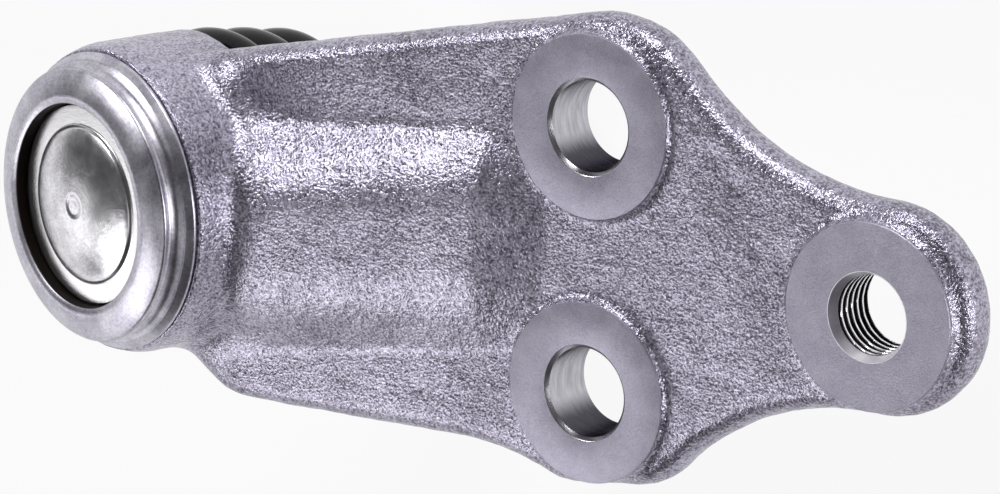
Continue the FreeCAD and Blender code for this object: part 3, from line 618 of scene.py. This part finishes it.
def stud_thread_mesh(segments=96, rows=144):
    """The rolled M14 thread, from its run-out at the relief to the chamfered end."""
    top, end, rise, relief, slope = -46.0, -62.5, 1.5, 0.6, 1.2
    crest, depth, relief_radius, end_radius = 6.98, 0.8, 6.1, 6.05
    rings = []
    for k in range(rows + 1):
        level = top + (end - top) * k / rows
        run_out = relief_radius + max(top - relief - level, 0) * slope
        widest = min(end_radius + (level - end), run_out)
        radii = []
        for i in range(segments):
            groove = groove_share(2 * math.pi * i / segments, level, rise, painted_highlight_ring=0.1, flank=0.8)
            radii.append(min(crest - depth * (1 - groove), widest))
        rings.append(ring_of(radii, level))
    return swept("stud_thread", rings, capped=True)


new_piece("stud_thread", stud_thread_mesh(), ground, "stud", 40)

# Castle nut and split pin: a zinc-plated nut with a slotted crown, and a folded wire through the
# slot and the stud's cross hole. Both keep their CAD shapes.
plated, place, paint = new_finish("zinc_plate", Metallic=1.0)
mottle = place.grain(300, 4, 0.6)
fine = place.grain(2600, 2)
paint(
    Base_Color=mottle.ramp((0.3, (0.5, 0.49, 0.45)), (0.7, (0.72, 0.7, 0.64))),
    Roughness=0.26 + 0.2 * mottle,
    Normal=(mottle * 0.6 + fine * 0.4).bump(0.00006, 0.6),
)
for name in ("castle_nut", "split_pin"):
    finish_node(name, plated)

# Dust boot: a moulded rubber bellows with three folds, clipped to the socket's spigot and sealed
# on the stud's land. It is made in two halves.
rubber, place, paint = new_finish("glossy_rubber", Specular_IOR_Level=0.12)
mottle = place.grain(1400, 3, 0.6)
dust = place.grain(60, 3, 0.6)
tone = mottle * 0.5 + dust * 0.5
paint(
    Base_Color=tone.ramp((0.35, (0.003, 0.003, 0.004)), (0.7, (0.012, 0.012, 0.014))),
    Roughness=0.06 + 0.14 * dust,
    Normal=mottle.bump(0.00003, 0.4),
)


def bulge(start, end, rise, steps=14):
    """Points along an arc between two outline points that stands out by a rise."""
    start, end = Vector(start), Vector(end)
    chord = end - start
    out = Vector((-chord.y, chord.x)).normalized()
    out = out if out.x > 0 else -out
    half = chord.length / 2
    radius = (half * half + rise * rise) / (2 * rise)
    centre = (start + end) / 2 + out * (rise - radius)
    first = math.atan2((start - centre).y, (start - centre).x)
    last = math.atan2((end - centre).y, (end - centre).x)
    return [
        (centre.x + radius * math.cos(a), centre.y + radius * math.sin(a))
        for a in np.linspace(first, last, steps)
    ]


valleys = [(19.85, -6.75), (18.8, -12.42), (18.0, -18.92), (17.4, -25.03)]
inner = [(18.98, -6.75), (18.98, -10.5), (17.2, -12.42), (16.4, -18.92), (15.8, -24.73)]
upper_outline = [
    valleys[2], *bulge(valleys[1], valleys[2], 2.95)[::-1], *bulge(valleys[0], valleys[1], 2.8)[::-1],
    *inner[:3], *bulge(inner[2], inner[3], 2.0, 8),
]
lower_outline = softened([
    (9.2, -27.0), (9.2, -30.0), (11.6, -29.98, 0.15), (11.6, -29.15, 0.15), (10.78, -29.05, 0.2),
    (10.78, -27.0, 0.2), (12.3, -26.9, 0.3), *bulge(valleys[2], valleys[3], 2.75)[::-1],
    inner[3], *bulge(inner[3], inner[4], 1.7, 8),
], 3)
upper_mesh = lathe("boot_upper_folds", upper_outline, 144)
upper_half = new_piece("boot_upper_folds", upper_mesh, rubber, None, 50)
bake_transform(upper_half)
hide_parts("dust_boot")
lower_mesh = lathe("boot_lower_folds", lower_outline, 144)
lower_half = new_piece("boot_lower_folds", lower_mesh, rubber, None, 50)
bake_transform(lower_half)

# Studio: a pale sheet under the part, a white room, soft lamps, a dark hood and the photograph's
# view. What the camera sees of the sheet is mostly its own glow, so the shadow on it is faint.
side, level = 3.0, cad_low.z - 0.0005
corners = [(-side, -side, level), (side, -side, level), (side, side, level), (-side, side, level)]
floor_mesh = bpy.data.meshes.new("floor")
floor_mesh.from_pydata(corners, [], [(0, 1, 2, 3)])
floor = linked("floor", floor_mesh)


def emptied(block, output):
    """Empties a block's nodes. Gives its light path and the surface socket of its new output."""
    block.use_nodes = True
    tree = block.node_tree
    tree.nodes.clear()
    path = Wire(tree.nodes.new("ShaderNodeLightPath").outputs["Is Camera Ray"])
    return path, tree.nodes.new(output).inputs["Surface"]


sheet = bpy.data.materials.new("white_sheet")
path, surface = emptied(sheet, "ShaderNodeOutputMaterial")
# Far from the part the sheet fades into the white behind it.
x, y = path.node("ShaderNodeTexCoord", {}, {}, "Object").parts()[:2]
far = (x * x + y * y).root().between(0.35, 1.3)
seen = path * (0.85 + 0.15 * far)
seen = seen.most(path.beside("Is Glossy Ray") * 0.9)
seen = seen.most(path.beside("Is Transmission Ray") * 0.85)
paper = seen.node("ShaderNodeBsdfDiffuse", {}, {"Color": (0.86, 0.86, 0.87, 1)})
glow = seen.node("ShaderNodeEmission", {}, {"Color": (1, 1, 1, 1), "Strength": 1.0})
seen.node("ShaderNodeMixShader", {}, {0: seen, 1: paper, 2: glow}).feed(surface)
floor_mesh.materials.append(sheet)

room = bpy.data.worlds.new("studio")
bpy.context.scene.world = room
path, surface = emptied(room, "ShaderNodeOutputWorld")
seen = path.most(path.beside("Is Glossy Ray")).most(path.beside("Is Transmission Ray"))
white = {"Color": (1, 1, 1, 1), "Strength": 0.22 + 0.78 * seen}
seen.node("ShaderNodeBackground", {}, white).feed(surface)

middle = Vector((0.06, 0.0, 0.0))
for name, spot, size, power in (
    ("lamp_upper_side", (-0.58, 0.53, 0.72), 0.2, 4.4),
    ("lamp_main", (-0.34, -0.36, 0.5), 0.3, 1.1),
    ("lamp_lower_side", (-0.375, -0.465, 0.3), 0.3, 0.3),
    ("lamp_overhead", (0.03, -0.2, 0.68), 0.3, 0.25),
    ("lamp_cap", (-0.91, -0.32, 0.44), 0.34, 0.58),
    ("lamp_back", (0.1, 0.75, 0.3), 0.26, 3.6),
    ("lamp_right", (0.8, 0.0, 0.3), 0.3, 2.4),
):
    data = bpy.data.lights.new(name, "AREA")
    data.shape, data.size, data.energy = "SQUARE", size, power
    lamp = linked(name, data)
    lamp.location = spot
    lamp.rotation_mode = "QUATERNION"
    lamp.rotation_quaternion = (lamp.location - middle).to_track_quat("Z", "Y")

# The hood over the part, open round its foot, keeps the metal from going pale all over.
hood_outline = [(1900, 480), (1700, 950), (1000, 1300), (0, 1400)]
hood_mesh = lathe("hood", hood_outline, 48, (0, 0), closed=False)
hood = linked("hood", hood_mesh)
hood.visible_camera = False
cloth = new_finish("hood_cloth", Base_Color=(0.04, 0.04, 0.042, 1))[0]
hood_mesh.materials.append(cloth)

camera_data = bpy.data.cameras.new("camera")
camera_data.lens, camera_data.sensor_width = 171.0, 36.0
camera_data.clip_start, camera_data.clip_end = 0.01, 50
camera = linked("camera", camera_data)
view_right = Vector((0.79585, 0.00887, -0.60543))
view_up = Vector((-0.16074, 0.96711, -0.19714))
view_back = Vector((0.58376, 0.25421, 0.77110))
axes = Matrix((view_right, view_up, view_back)).transposed()
camera.matrix_world = Matrix.Translation((0.4375, 0.1658, 0.4992)) @ axes.to_4x4()
bpy.context.scene.camera = camera
bpy.context.scene.view_settings.view_transform = "Standard"
